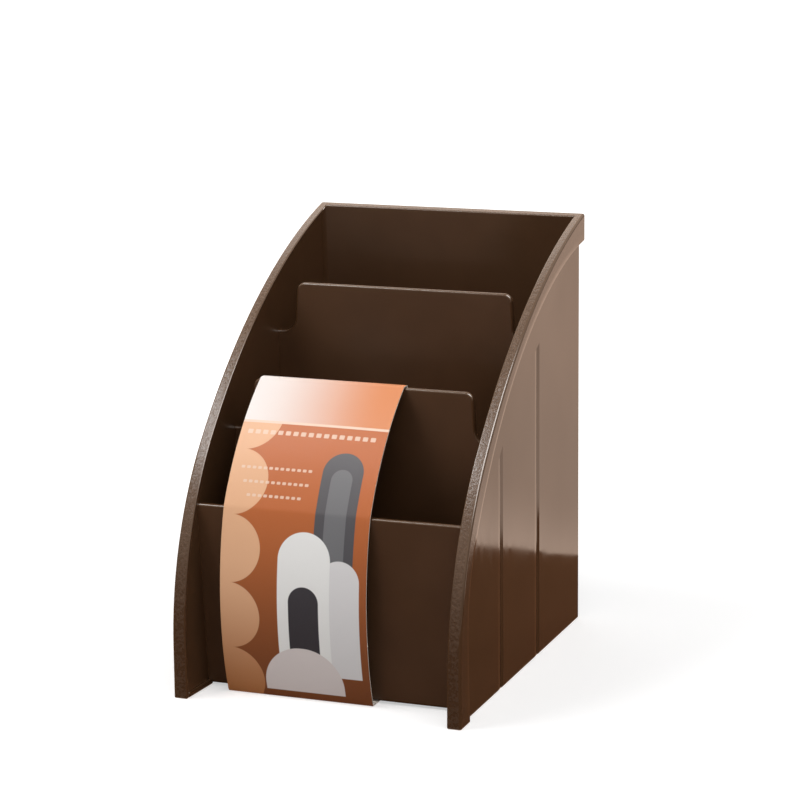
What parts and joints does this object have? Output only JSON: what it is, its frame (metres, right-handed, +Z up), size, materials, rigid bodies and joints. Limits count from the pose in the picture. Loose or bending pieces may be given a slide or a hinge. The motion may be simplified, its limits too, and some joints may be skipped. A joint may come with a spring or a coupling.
{
  "type": "remote control holder",
  "caption": "Stepped desk holder for remote controls, open pockets between arched side walls, with a printed card sleeve over the front divider.",
  "frame": {"origin": "on the resting surface, at the centre of the holder's footprint", "axes": "+Z up, +Y towards the high back wall, +X to the right of someone who faces the front"},
  "size_m": [0.096, 0.1254, 0.1412],
  "materials": {
    "brown_plastic": "dark brown injection moulding, glossy on the side panels and finely textured on the rim",
    "printed_card": "coated card printed in orange and cream"
  },
  "bodies": {
    "root": {"holder": "brown_plastic", "card_sleeve": "printed_card"}
  },
  "joints": []
}
